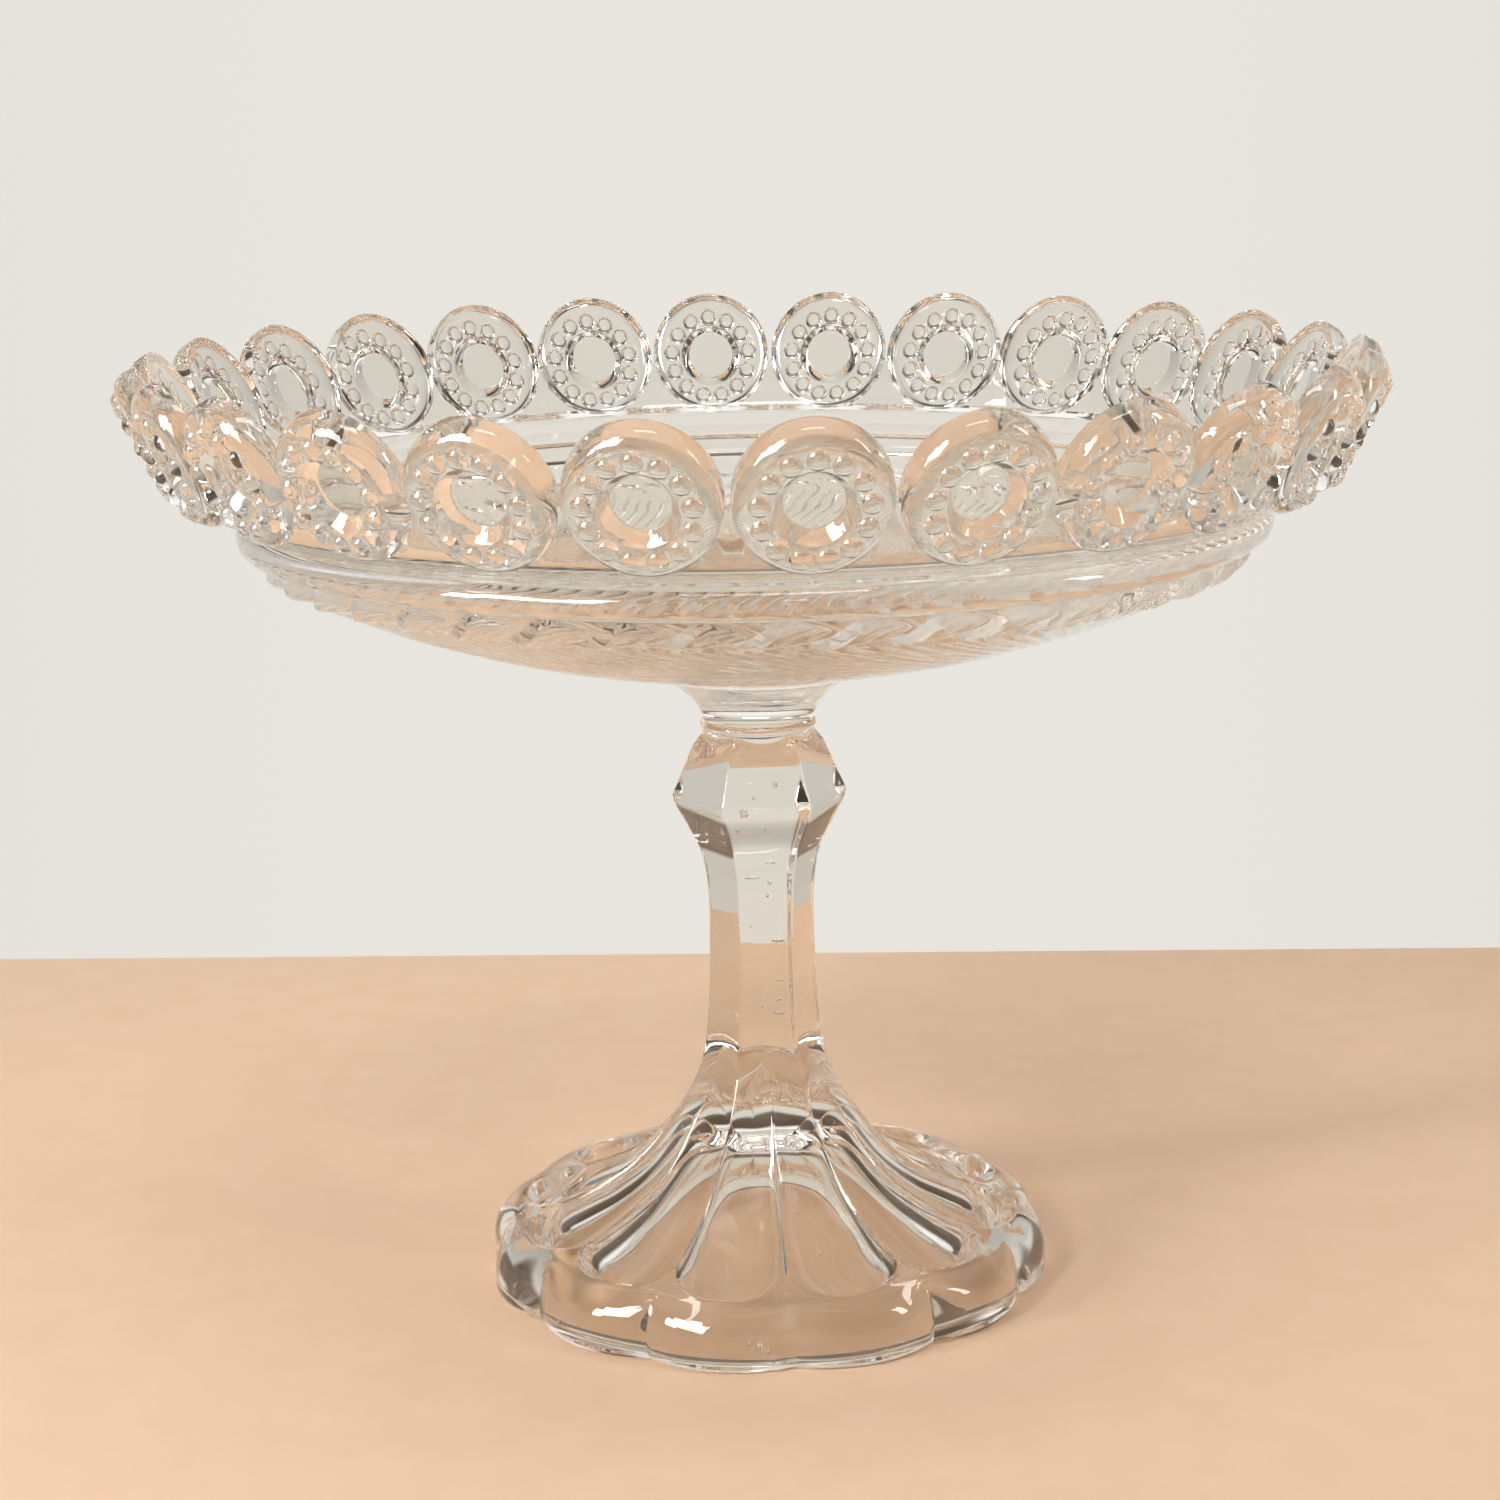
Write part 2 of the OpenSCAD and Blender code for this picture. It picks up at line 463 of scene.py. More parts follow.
@dataclass
class Medallion:
    """One medallion of the rim: a thick disc with a rounded edge, thirteen beads and a clear window.

    It is modelled lying flat at the origin, with +Z out through the glass and +Y up the wall's slope.
    """

    radius: float = 11.65
    tallness: float = 1.07
    thickness: float = 6.0
    window_radius: float = 4.4
    bevel_radius: float = 5.7
    window_glass: float = 2.4
    beads: int = 13
    bead_ring: float = 7.9
    bead_radius: float = 1.85
    bead_top: float = 6.2
    # Radius of the rounded edge, and how far the face lies under the full thickness there.
    edge_radius: float = 3.4
    edge_drop: float = 0.9
    nick_radius: float = 0.95
    nick_width: float = 0.55
    nick_lean: float = 18.0
    sides: int = 60

    def profile(self) -> Profile:
        """The disc's profile, from the middle of its hidden back to the middle of the window.

        Returns:
            Radius and height of each ring.
        """
        edge_centre = (self.radius - self.edge_radius, self.thickness - self.edge_drop - self.edge_radius)
        edge = arc(edge_centre, self.edge_radius, 4, 82, 8)
        land = [
            (self.bevel_radius + 1.2, self.thickness - 0.95),
            (self.bevel_radius + 0.4, self.thickness - 1.15),
        ]
        bevel = [
            (self.bevel_radius, self.thickness - 1.55),
            (self.window_radius + 0.2, self.window_glass + 0.3),
            (self.window_radius + 0.02, self.window_glass + 0.06),
            (self.window_radius - 0.16, self.window_glass),
            (self.window_radius - 0.3, self.window_glass),
        ]
        side = [(self.radius - 0.6, -1.6), (self.radius - 0.05, 0.0), (self.radius, 0.9)]
        window = [(2.0, self.window_glass), (0.4, self.window_glass)]
        return [(0.4, -1.6), *side, *edge, *land, *bevel, *window]

    def build(self) -> bpy.types.Object:
        """Models the medallion.

        Returns:
            The medallion, lying at the origin.
        """
        disc = turn_shape("medallion", self.sides, self.profile())
        beads = []
        for i in range(self.beads):
            a = 2 * math.pi * (i + 0.5) / self.beads - math.pi / 2
            deselect_everything()
            bpy.ops.mesh.primitive_uv_sphere_add(
                segments=12,
                ring_count=8,
                radius=self.bead_radius * MM,
                location=(
                    self.bead_ring * math.cos(a) * MM,
                    self.bead_ring * math.sin(a) * MM,
                    (self.bead_top - self.bead_radius) * MM,
                ),
            )
            beads.append(bpy.context.object)
        string = join(beads)
        settle(string)
        cut(disc, string, Cut.ADD)
        cut(disc, self.nick(), Cut.TAKE_AWAY)
        disc.scale.y = self.tallness
        settle(disc)
        return disc

    def nick(self) -> bpy.types.Object:
        """Shapes what cuts the small notch that the mould's parting leaves at the top of the edge.

        Returns:
            The tool, in its place at the medallion's top.
        """
        deselect_everything()
        bpy.ops.mesh.primitive_cylinder_add(
            vertices=6,
            radius=self.nick_radius * MM,
            depth=6 * MM,
            location=(0, (self.radius + 0.1) * MM, 5 * MM),
            rotation=(math.radians(self.nick_lean), 0, 0),
        )
        tool = bpy.context.object
        tool.scale.x = self.nick_width
        settle(tool)
        return tool


@dataclass
class Bowl:
    """The open bowl: plain inside, ribbed and leaf-banded underneath, with the medallion rim."""

    medallion: Medallion = field(default_factory=Medallion)
    medallions: int = 26
    first_medallion: float = 191.7
    wall_lean: float = 26.0
    wall_radius: float = 98.0
    wall: float = 3.0
    thin_wall: float = 2.0
    centre_height: float = 155.5
    neck_radius: float = 9.7
    neck_height: float = 101.6
    # Height of a rib at each of its corners, from one groove to the next, as a share of its full height.
    rib_section: tuple[float, ...] = (0.0, 0.85, 1.0, 0.85)
    rib_swirl: float = -54.0
    rib_height: float = 0.5
    rib_start: float = 22.0
    rib_full: float = 36.0
    rib_end: float = 78.6
    leaves: int = 44
    leaf_height: float = 1.5
    leaf_lean: float = 4.6
    # A leaf's edge keeps this share of its height, so that the next leaf starts with a step.
    leaf_step: float = 0.55
    # 110 ribs of four corners, and 44 leaves of ten.
    sides: int = 440
    plunger_sides: int = 240
    crisp_angle: float = 32.0

    def wall_at(self, up: float, out: float) -> tuple[float, float]:
        """Finds a point of the leaning wall.

        Args:
            up: Distance up the slope from the medallions' middles.
            out: Depth out through the glass from the inner face.

        Returns:
            Radius and height of the point.
        """
        lean = math.radians(self.wall_lean)
        radius = self.wall_radius + up * math.sin(lean) + out * math.cos(lean)
        return radius, self.centre_height + up * math.cos(lean) - out * math.sin(lean)

    def neck_line(self) -> Profile:
        """Outer profile from the joint up the neck and out to the start of the ribs.

        Returns:
            Radius and height of each ring.
        """
        points = [
            (self.neck_radius, self.neck_height), (9.95, 102.6), (10.9, 104.3), (12.4, 106.0), (14.6, 107.9),
            (18.0, 110.1), (22.0, 112.2),
        ]
        return smooth_profile(points, 0.8)

    def rib_line(self) -> Profile:
        """Outer profile under the ribs.

        Returns:
            Radius and height of each ring.
        """
        points = [
            (22.0, 112.2), (30.0, 114.1), (38.0, 115.5), (52.0, 119.0), (66.0, 123.7), (74.0, 127.1),
            (79.2, 129.4),
        ]
        return smooth_profile(points, 2.1)

    def leaf_line(self) -> Profile:
        """Outer profile under the leaf band."""
        return smooth_profile([(80.6, 130.0), (82.1, 131.0), (83.5, 132.4), (84.5, 134.0)], 0.5)

    def upper_line(self) -> Profile:
        """Outer profile over the ridge moulding and up the plain wall to the medallions' middles.

        Returns:
            Radius and height of each ring.
        """
        ridge = arc((85.9, 137.2), 2.6, -75, 62, 9)
        points = [(88.0, 140.2), (90.6, 141.6), (92.6, 143.0), self.wall_at(-11.0, self.wall)]
        wall = smooth_profile(points, 1.2)
        behind = [
            self.wall_at(-8.6, self.wall),
            self.wall_at(-6.6, self.thin_wall),
            self.wall_at(-1.2, self.thin_wall),
        ]
        return [(84.75, 134.45), *ridge, *wall, *behind]

    def blank(self) -> bpy.types.Object:
        """Models the outside of the bowl, still solid inside.

        Returns:
            The solid, with its ribs and leaves.
        """
        neck, ribs, leaves, upper = self.neck_line(), self.rib_line()[1:], self.leaf_line(), self.upper_line()
        profile = [*neck, *ribs, *leaves, *upper, (90.0, upper[-1][1] + 0.4)]
        first_rib, first_leaf = len(neck), len(neck) + len(ribs)
        first_upper = first_leaf + len(leaves)
        line = np.array(profile)
        slope = np.gradient(line, axis=0)
        normal = np.column_stack([slope[:, 1], -slope[:, 0]]) / np.linalg.norm(slope, axis=1)[:, None]
        pitch = 2 * math.pi / self.sides

        def press(ring: np.ndarray, theta: np.ndarray, radius: np.ndarray, height: np.ndarray) -> Corners:
            """Presses the ribs and the leaves into the rings, and turns the rings to run along them.

            Args:
                ring: Number of the ring that each corner is on.
                theta: Each corner's angle.
                radius: Each corner's radius.
                height: Each corner's height.

            Returns:
                The corners' new angles, radii and heights.
            """
            corner = np.rint(theta / pitch).astype(int) % self.sides
            reach = np.clip(radius, self.rib_start, self.rib_end)
            turn = math.tan(math.radians(self.rib_swirl)) * np.log(reach / self.rib_start)
            on_ribs = (ring >= first_rib - 1) & (ring < first_leaf)
            share = np.clip((radius - self.rib_start) / (self.rib_full - self.rib_start), 0, 1)
            crest = np.array(self.rib_section)[corner % len(self.rib_section)]
            relief = np.where(on_ribs, self.rib_height * share * crest, 0)
            on_leaves = (ring >= first_leaf) & (ring < first_upper)
            up = np.clip((ring - first_leaf) / (first_upper - 1 - first_leaf), 0, 1)
            turn = turn + math.radians(self.leaf_lean) * up
            relief = relief + np.where(on_leaves, self.leaf_height * self.leaf(corner, up), 0)
            n = normal[ring]
            return theta + turn, radius + n[:, 0] * relief, height + n[:, 1] * relief

        return turn_shape("bowl_glass", self.sides, profile, press)

    def leaf(self, corner: np.ndarray, up: np.ndarray) -> np.ndarray:
        """Gives the relief of the leaf band.

        Args:
            corner: Number of each corner on its ring.
            up: How far up the band each corner lies, from 0 to 1.

        Returns:
            The height of the leaves at the corners, as a share of their full height.
        """
        per_leaf = self.sides // self.leaves
        place = corner % per_leaf
        half = np.clip(np.sin(math.pi * (0.08 + 0.84 * up)), 0.01, 1) ** 0.8
        body = np.clip(1 - place / per_leaf / (0.95 * half), 0, 1) ** 0.7
        return half**0.6 * np.where(place == 0, self.leaf_step, body)

    def plunger(self) -> bpy.types.Object:
        """Models the space inside the bowl, as the press's plunger fills it.

        Returns:
            The solid that is taken away.
        """
        points = [
            (0.6, 118.2), (20, 118.7), (38, 120.4), (54, 123.8), (68, 128.8), (78, 133.8), (82.4, 137.3)
        ]
        floor = smooth_profile(points, 2.5)
        edge = [(84.0, 138.7), (84.6, 139.3), (85.6, 140.1)]
        wall = smooth_profile([(86.6, 140.9), (89.6, 143.3), self.wall_at(-11.5, 0), self.wall_at(0, 0)], 2.2)
        profile = [*floor, *edge, *wall, self.wall_at(11, 0), self.wall_at(23, 0)]
        return turn_shape("plunger", self.plunger_sides, profile)

    def rim(self) -> bpy.types.Object:
        """Models all the medallions, each in its place on the leaning wall.

        Returns:
            The ring of medallions, as one object.
        """
        pattern = self.medallion.build()
        lean = math.radians(self.wall_lean)
        ring = []
        for i in range(self.medallions):
            pick(pattern)
            bpy.ops.object.duplicate(linked=False)
            copy = bpy.context.object
            turn = math.radians(self.first_medallion - i * 360 / self.medallions)
            out = Vector((math.cos(lean), 0, -math.sin(lean)))
            up = Vector((math.sin(lean), 0, math.cos(lean)))
            across = up.cross(out)
            stand = Matrix((across, up, out)).transposed().to_4x4()
            place = Matrix.Translation((self.wall_radius * MM, 0, self.centre_height * MM))
            copy.matrix_world = Matrix.Rotation(turn, 4, "Z") @ place @ stand
            settle(copy)
            ring.append(copy)
        bpy.data.objects.remove(pattern)
        return join(ring)

    def build(self) -> bpy.types.Object:
        """Models the bowl as one closed piece of glass.

        Returns:
            The bowl.
        """
        glass = self.blank()
        cut(glass, self.rim(), Cut.ADD)
        cut(glass, self.plunger(), Cut.TAKE_AWAY)
        smooth(glass, self.crisp_angle)
        return glass


# ---------------------------------------------------------------- the joint and the pedestal


@dataclass
class JoiningWafer:
    """The small gather of hot glass that fuses the bowl to the pedestal."""

    radius: float = 9.7
    bulge: float = 0.5
    bottom: float = 99.6
    thickness: float = 2.0
    sides: int = 144
    steps: int = 8
    crisp_angle: float = 40.0

    def build(self) -> bpy.types.Object:
        """Models the wafer.

        Returns:
            The wafer, with a softly bulging side.
        """
        side = []
        for i in range(self.steps + 1):
            bulge = self.bulge * math.sin(math.pi * i / self.steps)
            side.append((self.radius + bulge, self.bottom + self.thickness * i / self.steps))
        wafer = turn_shape("joint_glass", self.sides, side)
        smooth(wafer, self.crisp_angle)
        return wafer


@dataclass
class Pedestal:
    """The pressed pedestal: a six-sided knop and stem on a hollow foot of twelve dished petals."""

    joint_height: float = 99.6
    joint_radius: float = 9.7
    petals: int = 12
    petal_turn: float = 20.0
    tip_radius: float = 50.6
    notch_radius: float = 48.2
    edge_height: float = 4.6
    rim_radius: float = 44.5
    rim_height: float = 10.8
    # The power that shapes the stem's corners: the higher, the crisper they are.
    corner_crispness: float = 130.0
    # How far the rings' corners gather at the ridges between the petals.
    gather: float = 0.32
    # Depth of a petal's middle at each radius: the radii, then the depths.
    petal_depth: tuple[tuple[float, ...], tuple[float, ...]] = (
        (10, 12, 14, 18, 24, 33, 41, 45),
        (0.0, 0.2, 0.45, 0.85, 1.5, 2.6, 3.7, 3.7),
    )
    shoulder_steps: int = 8
    crisp_angle: float = 75.0
    seam: float = 0.35
    seam_half_angle: float = 0.012
    # Each bubble's middle, width and height, in mm.
    seeds: tuple[tuple[float, float, float, float, float], ...] = (
        (2.7, -4.0, 62.0, 2.2, 0.5),
        (2.9, -3.4, 54.6, 1.1, 0.4),
        (2.5, -4.2, 51.2, 1.2, 0.4),
        (2.7, -4.2, 48.6, 2.0, 0.45),
        (2.3, -4.4, 41.4, 1.0, 0.8),
        (0.2, -3.0, 51.8, 0.5, 0.6),
        (-0.4, -2.0, 49.5, 0.4, 0.5),
        (-1.6, -5.0, 74.0, 2.6, 0.35),
        (1.6, -5.2, 77.0, 1.9, 0.35),
        (0.9, -3.5, 70.4, 0.6, 0.6),
        (1.3, -3.2, 72.8, 0.7, 0.8),
        (-3.0, -7.5, 86.6, 1.4, 0.4),
        (-1.2, -8.0, 88.4, 0.5, 0.5),
        (2.6, -7.0, 90.6, 0.8, 0.7),
        (-4.2, -5.5, 83.8, 0.6, 0.9),
        (0.6, -7.8, 84.0, 0.5, 0.5),
        (-2.2, -2.5, 64.5, 0.4, 0.4),
        (3.0, -12.0, 27.0, 0.5, 0.5),
        (9.0, -29.0, 12.6, 0.6, 0.5),
        (-2.0, -46.5, 4.0, 0.9, 0.8),
        (-3.6, -46.8, 4.6, 0.6, 0.6),
        (-0.6, -46.9, 3.2, 0.7, 0.7),
    )
    # Factors on a bubble's width, depth and height, so that the smallest still show from afar.
    seed_growth: tuple[float, float, float] = (1.15, 1.6, 1.5)
    sides: int = 288

    def stem_line(self) -> Profile:
        """Corner radius of the stem and knop, from the joint down to where the petals begin.

        Returns:
            Radius and height of each ring.
        """
        points = [
            (self.joint_radius, self.joint_height), (9.9, 99.0), (10.5, 98.3), (11.3, 97.3), (12.2, 95.4),
            (13.1, 93.3), (14.0, 91.2), (14.9, 89.2), (15.4, 88.0), (15.2, 86.9), (14.4, 85.2), (13.3, 83.1),
            (12.2, 81.0), (11.2, 79.0), (10.4, 77.0), (9.9, 74.6),
            (9.5, 71.0), (9.3, 66.0), (9.4, 60.0), (9.55, 54.0), (9.9, 48.0), (10.4, 43.0), (11.3, 38.5),
        ]
        return smooth_profile(points, 1.1)

    def ridge_line(self) -> Profile:
        """Ridges between the petals, from the stem out to the foot's rim.

        Returns:
            Radius and height of each ring.
        """
        points = [
            (11.3, 38.5), (12.5, 35.4), (14.2, 32.2), (16.2, 29.0), (18.4, 25.8), (21.0, 22.7), (24.0, 19.8),
            (27.5, 17.3), (31.5, 15.2), (36.0, 13.3), (40.0, 12.0), (self.rim_radius, self.rim_height),
        ]
        return smooth_profile(points, 0.75)

    def hollow_line(self) -> Profile:
        """Underside, from the ring that the foot rests on to the top of the hollow.

        Returns:
            Radius and height of each ring.
        """
        points = [
            (44.2, 0.35), (43.2, 2.4), (41.4, 4.7), (38.0, 6.9), (33.0, 8.9), (28.0, 11.1), (23.0, 14.0),
            (19.0, 17.1), (15.4, 20.5), (12.0, 23.3), (8.0, 25.1), (4.0, 25.8), (0.5, 25.9),
        ]
        return smooth_profile(points, 1.6)

    def flats(self, theta: np.ndarray) -> np.ndarray:
        """Gives the outline of the six-sided stem, with its corners a little rounded.

        Args:
            theta: Angles about the axis.

        Returns:
            The outline's radius at each angle, as a share of the radius at the corners.
        """
        half_petal = math.pi / self.petals
        turn = math.radians(self.petal_turn)
        power = self.corner_crispness
        total = np.zeros(len(theta))
        for i in range(6):
            total += np.clip(np.cos(theta - turn - half_petal * (4 * i + 1)), 0, 1) ** power
        return total ** (-1 / power) * math.cos(math.pi / 6) * 2 ** (1 / power)

    def dish(self, from_middle: np.ndarray, radius: np.ndarray) -> np.ndarray:
        """Gives the depth of the petals, each of them dished and round at its outer end.

        Args:
            from_middle: Angle of each corner from its petal's middle.
            radius: Each corner's radius.

        Returns:
            The depth under the ridges.
        """
        deepest = np.interp(radius, *self.petal_depth)
        narrowing = np.sqrt(np.clip(1 - (np.clip(radius - 36.6, 0, 8) / 7.6) ** 2, 0, 1))
        half = np.maximum(math.pi / self.petals * narrowing, 1e-4)
        across = np.clip(1 - (from_middle / half) ** 2, 0, 1) ** 0.6
        end = np.clip(1 - (np.clip(radius - 41.9, 0, 4) / 2.3) ** 2, 0, 1) ** 0.5
        return deepest * across * end

    def outline(self, from_middle: np.ndarray) -> np.ndarray:
        """Gives the radius of the foot's scalloped outline at each angle from a petal's middle."""
        half_petal = math.pi / self.petals
        reach = 2 * (self.tip_radius - self.notch_radius * math.cos(half_petal))
        centre = (self.tip_radius**2 - self.notch_radius**2) / reach
        lobe = self.tip_radius - centre
        return centre * np.cos(from_middle) + np.sqrt(lobe**2 - (centre * np.sin(from_middle)) ** 2)

    def build(self) -> bpy.types.Object:
        """Models the pedestal as one closed piece of glass.

        Returns:
            The pedestal, with the bubbles in its stem.
        """
        stem, ridge, hollow = self.stem_line(), self.ridge_line()[1:], self.hollow_line()
        edge = [(self.tip_radius, height) for height in (self.edge_height, 3.4, 2.2, 1.1)]
        foot = [(self.tip_radius - 0.35, 0.35), (self.tip_radius - 1.1, 0.0), (46.4, 0.0), (45.0, 0.0)]
        shoulder = [(self.tip_radius, self.rim_height)] * self.shoulder_steps
        profile = [*stem, *ridge, *shoulder, *edge, *foot, *hollow]
        first_ridge = len(stem)
        first_shoulder = first_ridge + len(ridge)
        first_edge = first_shoulder + self.shoulder_steps
        first_rest = first_edge + len(edge) + 2
        line = np.array(profile)
        slope = np.gradient(line, axis=0)
        length = np.maximum(np.linalg.norm(slope, axis=1), 1e-6)[:, None]
        normal = np.column_stack([-slope[:, 1], slope[:, 0]]) / length
        half_petal = math.pi / self.petals
        turn = math.radians(self.petal_turn)

        def press(ring: np.ndarray, theta: np.ndarray, radius: np.ndarray, height: np.ndarray) -> Corners:
            """Presses the stem's flats, the dished petals and the scalloped edge into the rings.

            Args:
                ring: Number of the ring that each corner is on.
                theta: Each corner's angle.
                radius: Each corner's radius.
                height: Each corner's height.

            Returns:
                The corners' new angles, radii and heights.
            """
            from_middle = (theta - turn + half_petal) % (2 * half_petal) - half_petal
            place = from_middle / half_petal
            from_middle = half_petal * place * (1 + self.gather - self.gather * place**2)
            gather = from_middle - half_petal * place
            # The stem's flats, which run out into the round waist under the joint.
            roundness = np.clip((height - 97.4) / 2.2, 0, 1) ** 1.5
            waist = np.where(ring < first_ridge, roundness, 0)
            hex_radius = radius * (self.flats(theta) * (1 - waist) + waist)
            # The petals, which take over from the flats as the foot flares.
            petal_share = np.clip((42.0 - height) / 13.0, 0, 1)
            petal_share = petal_share**2 * (3 - 2 * petal_share)
            depth = self.dish(from_middle, radius)
            n = normal[ring]
            petal_radius = radius - n[:, 0] * depth
            petal_height = height - n[:, 1] * depth
            on_petals = ring < first_shoulder
            share = np.where(on_petals, petal_share, 1)
            out_radius = np.where(on_petals, hex_radius * (1 - share) + petal_radius * share, radius)
            out_height = np.where(on_petals, height * (1 - share) + petal_height * share, height)
            # The rounded shoulder and the scalloped edge.
            outline = self.outline(from_middle)
            on_shoulder = (ring >= first_shoulder) & (ring < first_edge)
            fall = np.radians(90 - 90 * (ring - first_shoulder + 1) / (self.shoulder_steps + 1))
            shoulder_radius = self.rim_radius + (outline - self.rim_radius) * np.cos(fall)
            shoulder_height = self.edge_height + (self.rim_height - self.edge_height) * np.sin(fall)
            out_radius = np.where(on_shoulder, shoulder_radius, out_radius)
            out_height = np.where(on_shoulder, shoulder_height, out_height)
            on_edge = (ring >= first_edge) & (ring < first_rest)
            out_radius = np.where(on_edge, radius - self.tip_radius + outline, out_radius)
            # The mould's three parting seams, on the upright edge.
            third = math.pi / 3
            from_seam = np.abs((theta - 1.5 * math.pi + third) % (2 * third) - third)
            on_seam = on_edge & (from_seam < self.seam_half_angle)
            out_radius = np.where(on_seam, out_radius + self.seam, out_radius)
            return theta + gather * share, out_radius, out_height

        pedestal = join([turn_shape("pedestal_glass", self.sides, profile, press), *self.bubbles()])
        smooth(pedestal, self.crisp_angle)
        return pedestal

    def bubbles(self) -> list[bpy.types.Object]:
        """Models the air bubbles, most of them drawn out flat.

        Each is a small closed hollow in the glass, so its faces point into the air inside.

        Returns:
            The bubbles.
        """
        made = []
        for x, y, z, width, tall in self.seeds:
            deselect_everything()
            bpy.ops.mesh.primitive_uv_sphere_add(
                segments=12, ring_count=8, radius=0.5 * MM, location=(x * MM, y * MM, z * MM)
            )
            bubble = bpy.context.object
            wider, deeper, taller = self.seed_growth
            bubble.scale = (width * wider, tall * deeper, tall * taller)
            settle(bubble)
            bpy.ops.object.mode_set(mode="EDIT")
            bpy.ops.mesh.select_all(action="SELECT")
            bpy.ops.mesh.flip_normals()
            bpy.ops.object.mode_set(mode="OBJECT")
            made.append(bubble)
        return made


# ---------------------------------------------------------------- the studio


@dataclass
class Studio:
    """Pale floor, soft lights and the camera. Lengths here are in metres."""

    camera_at: tuple[float, float, float] = (0.0, -0.5159, 0.2173)
    pitch: float = 0.232
    yaw: float = -0.003
    roll: float = 0.019
    lens: float = 72.36
    floor_size: float = 1.3
    floor_edge: float = 0.188
    floor_turn: float = -0.035
    room_light: float = 1.1
    # Brightness of the walls at the sides and behind the camera, as a share of the wall in front.
    side_light: float = 0.5
    near_light: float = 0.42
    glass_bounces: int = 40
    clear_bounces: int = 24
    # Colour of the room at each height of view, from the horizon at 0 to straight up at 1.
    room: tuple[tuple[float, str], ...] = (
        (0.0, "#DEDCD5"),
        (0.2, "#DEDCD5"),
        (0.32, "#6A5C4E"),
        (0.6, "#5A4D40"),
        (0.72, "#FFFFFF"),
        (1.0, "#FFFFFF"),
    )

    def build(self) -> None:
        """Sets up the floor, the lights, the world and the camera."""
        self.floor()
        self.world()
        self.light_paths()
        self.softbox("key_softbox", (-0.62, -0.62, 0.75), (0.18, 0.3), 3.6)
        self.softbox("side_softbox", (-0.95, -0.5, 0.42), (0.18, 0.34), 6.0)
        window = self.softbox("window_softbox", (-0.8, -0.75, 0.62), (0.6, 0.5), 17.0)
        # This one is there for the reflections in the glass only, so that it doesn't bleach the floor.
        window.visible_diffuse = False
        window.visible_transmission = False
        self.softbox("fill_softbox", (0.85, -0.25, 0.55), (0.1, 0.4), 1.6)
        self.softbox("top_softbox", (0.05, -0.25, 1.25), (0.5, 0.2), 2.6)
        self.camera()

    def floor(self) -> None:
        """Lays one wide plain sheet of paper, whose far edge lies a little behind the object."""
        deselect_everything()
        middle = self.floor_edge - self.floor_size / 2
        bpy.ops.mesh.primitive_plane_add(size=self.floor_size, location=(0, middle, 0))
        floor = bpy.context.object
        settle(floor)
        floor.rotation_euler.z = self.floor_turn
        settle(floor)
        floor.name = floor.data.name = "studio_floor"
        floor.data.materials.append(MattePaper().material())
        floor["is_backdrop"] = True

    def world(self) -> None:
        """Lights the room: a pale wall all round, a darker warm band above it and a bright ceiling.

        The walls at the sides and behind the camera are dimmer. Clear glass shows its edges only
        against such steps in the light.
        """
        world = bpy.data.worlds.new("soft_room")
        bpy.context.scene.world = world
        world.use_nodes = True
        tree = world.node_tree
        direction = add_node(tree, "ShaderNodeTexCoord").outputs["Generated"]
        axes = add_node(tree, "ShaderNodeSeparateXYZ", links={"Vector": direction})
        ramp = add_node(tree, "ShaderNodeValToRGB", links={"Fac": axes.outputs["Z"]})
        ramp.color_ramp.interpolation = "EASE"
        stops = ramp.color_ramp.elements
        stops[0].position, stops[0].color = self.room[0][0], linear(self.room[0][1])
        stops[1].position, stops[1].color = self.room[-1][0], linear(self.room[-1][1])
        for position, colour in self.room[1:-1]:
            stops.new(position).color = linear(colour)
        background = tree.nodes["Background"]
        background.inputs["Strength"].default_value = self.room_light
        square = add_node(tree, "ShaderNodeMath", {"operation": "MULTIPLY"})
        tree.links.new(axes.outputs["X"], square.inputs[0])
        tree.links.new(axes.outputs["X"], square.inputs[1])
        dimming = {"To Min": 1.0, "To Max": self.side_light}
        sides = add_node(tree, "ShaderNodeMapRange", dimming, {"Value": square.outputs[0]})
        dimming = {"From Min": -0.5, "From Max": 0.3, "To Min": self.near_light, "To Max": 1.0}
        near = add_node(tree, "ShaderNodeMapRange", dimming, {"Value": axes.outputs["Y"]})
        both = add_node(tree, "ShaderNodeMath", {"operation": "MULTIPLY"})
        tree.links.new(sides.outputs["Result"], both.inputs[0])
        tree.links.new(near.outputs["Result"], both.inputs[1])
        shade = add_node(tree, "ShaderNodeVectorMath", {"operation": "SCALE"}, {"Scale": both.outputs[0]})
        tree.links.new(ramp.outputs["Color"], shade.inputs[0])
        tree.links.new(shade.outputs[0], background.inputs["Color"])

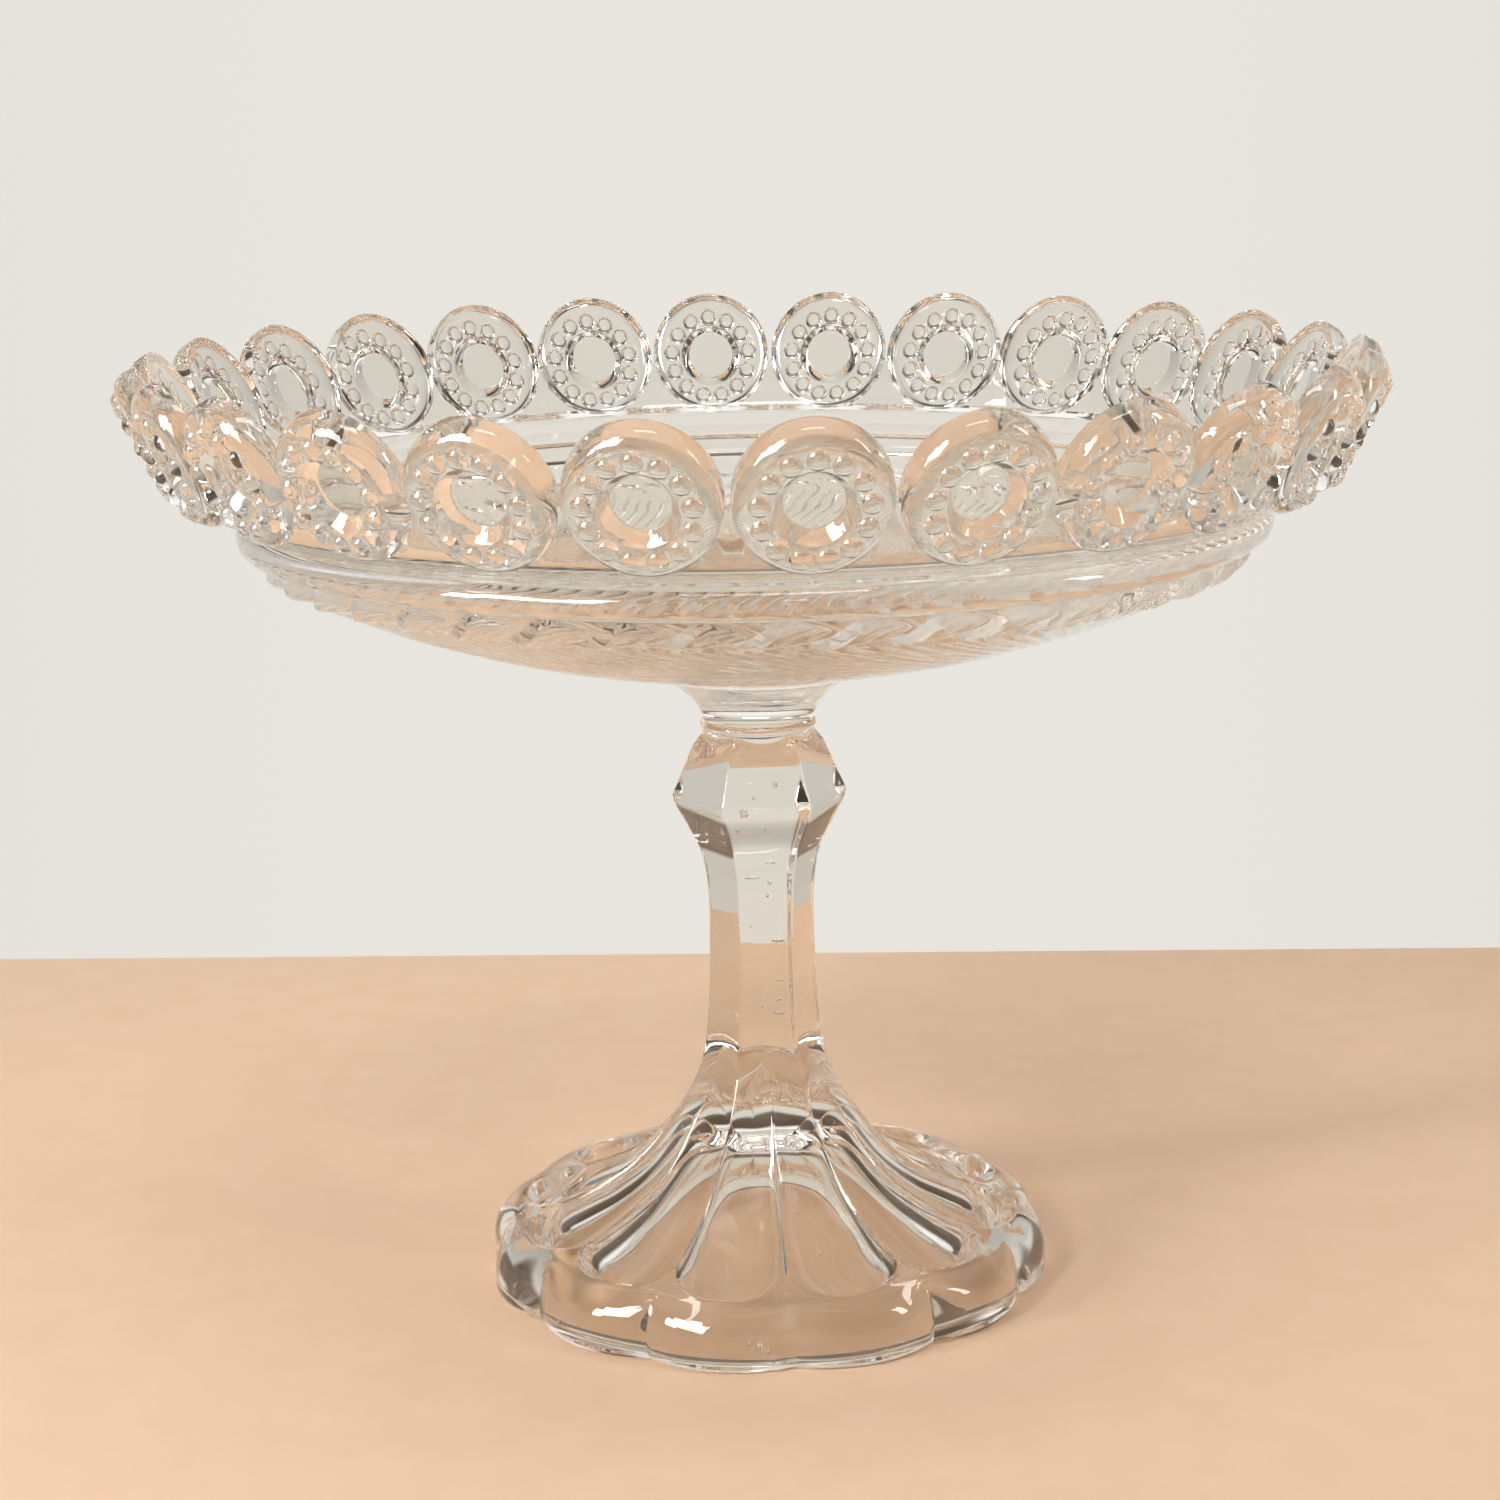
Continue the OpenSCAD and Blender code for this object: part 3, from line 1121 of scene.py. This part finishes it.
    def light_paths(self) -> None:
        """Lets light pass through as many walls of glass as the rim has, so that none turns black."""
        cycles = bpy.context.scene.cycles
        cycles.max_bounces = cycles.transmission_bounces = cycles.glossy_bounces = self.glass_bounces
        cycles.transparent_max_bounces = self.clear_bounces
        cycles.blur_glossy = 0.0
        bpy.context.scene.view_settings.view_transform = "Standard"

    def softbox(
        self, name: str, at: tuple[float, float, float], size: tuple[float, float], power: float
    ) -> bpy.types.Object:
        """Adds a rectangular soft light that faces the object.

        Args:
            name: Name of the light.
            at: Its place.
            size: Its width and height.
            power: Its power, in watts.

        Returns:
            The light.
        """
        deselect_everything()
        bpy.ops.object.light_add(type="AREA", location=at)
        light = bpy.context.object
        light.name = name
        light.data.shape = "RECTANGLE"
        light.data.size, light.data.size_y = size
        light.data.energy = power
        aim = Vector((0, 0, 0.1)) - Vector(at)
        light.rotation_euler = aim.to_track_quat("-Z", "Y").to_euler()
        return light

    def camera(self) -> None:
        """Sets up the camera, a little above the rim, looking slightly down."""
        deselect_everything()
        bpy.ops.object.camera_add(location=self.camera_at)
        camera = bpy.context.object
        look = Matrix.Rotation(-self.yaw, 4, "Z") @ Matrix.Rotation(math.pi / 2 - self.pitch, 4, "X")
        place = Matrix.Translation(self.camera_at)
        camera.matrix_world = place @ look @ Matrix.Rotation(-self.roll, 4, "Z")
        camera.data.lens = self.lens
        camera.data.sensor_width = 36.0
        camera.data.clip_start = 0.01
        bpy.context.scene.camera = camera


def main(cad_box: tuple[Vector, Vector]) -> None:
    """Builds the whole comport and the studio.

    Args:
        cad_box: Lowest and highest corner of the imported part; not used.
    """
    glass, fused = PressedSodaGlass().material(), FusedFace().material()
    wafer = JoiningWafer()
    parts = [
        (Bowl(), "bowl", "pressed_glass", [wafer.bottom + wafer.thickness]),
        (wafer, "joining_wafer", "joint_glass", [wafer.bottom, wafer.bottom + wafer.thickness]),
        (Pedestal(), "pedestal", "pressed_glass", [wafer.bottom]),
    ]
    for part, node, slot, joints in parts:
        piece = part.build()
        dress(piece, glass, fused, joints)
        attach(piece, "root")
        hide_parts(node)
        log.info("%s: %d faces", piece.name, len(piece.data.polygons))
    Studio().build()
    bpy.context.view_layer.update()


if __name__ == "__main__":
    logging.basicConfig(level=logging.INFO, format="%(name)s: %(message)s")
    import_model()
    main(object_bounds())
